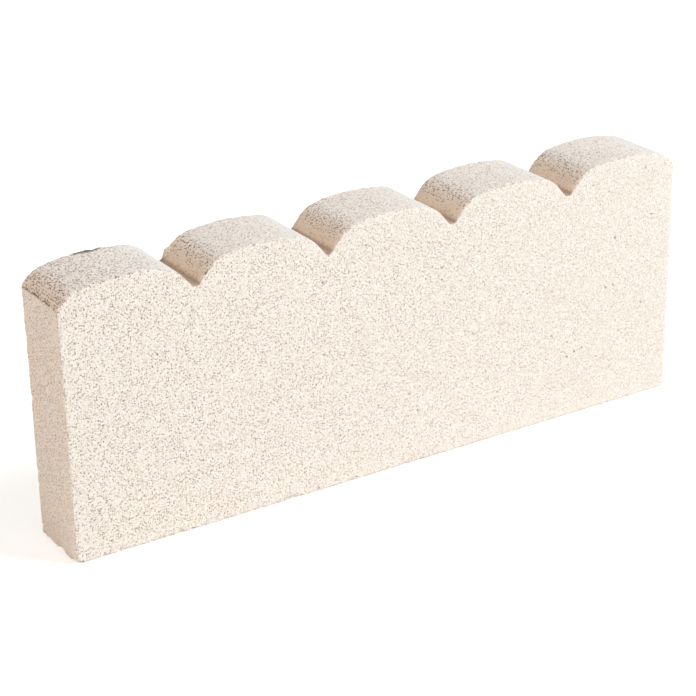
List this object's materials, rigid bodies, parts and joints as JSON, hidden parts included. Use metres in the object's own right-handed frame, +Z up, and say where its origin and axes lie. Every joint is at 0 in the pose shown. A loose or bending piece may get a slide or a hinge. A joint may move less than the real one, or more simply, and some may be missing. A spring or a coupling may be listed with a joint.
{
  "type": "concrete garden edging",
  "caption": "Upright rectangular block of cast cream concrete with a scalloped crest of flat round crowns and V notches, butted end to end to edge a flower bed, path or lawn.",
  "frame": {"origin": "on the floor, under the middle of the base", "axes": "+X along the block, +Y from the front face through the thickness to the back face, +Z up from the base to the scalloped crest"},
  "size_m": [0.5, 0.055, 0.195],
  "materials": {
    "concrete": "matte, fine sandy pressed concrete with open pores"
  },
  "bodies": {
    "root": {"edging_block": "concrete"}
  },
  "joints": []
}
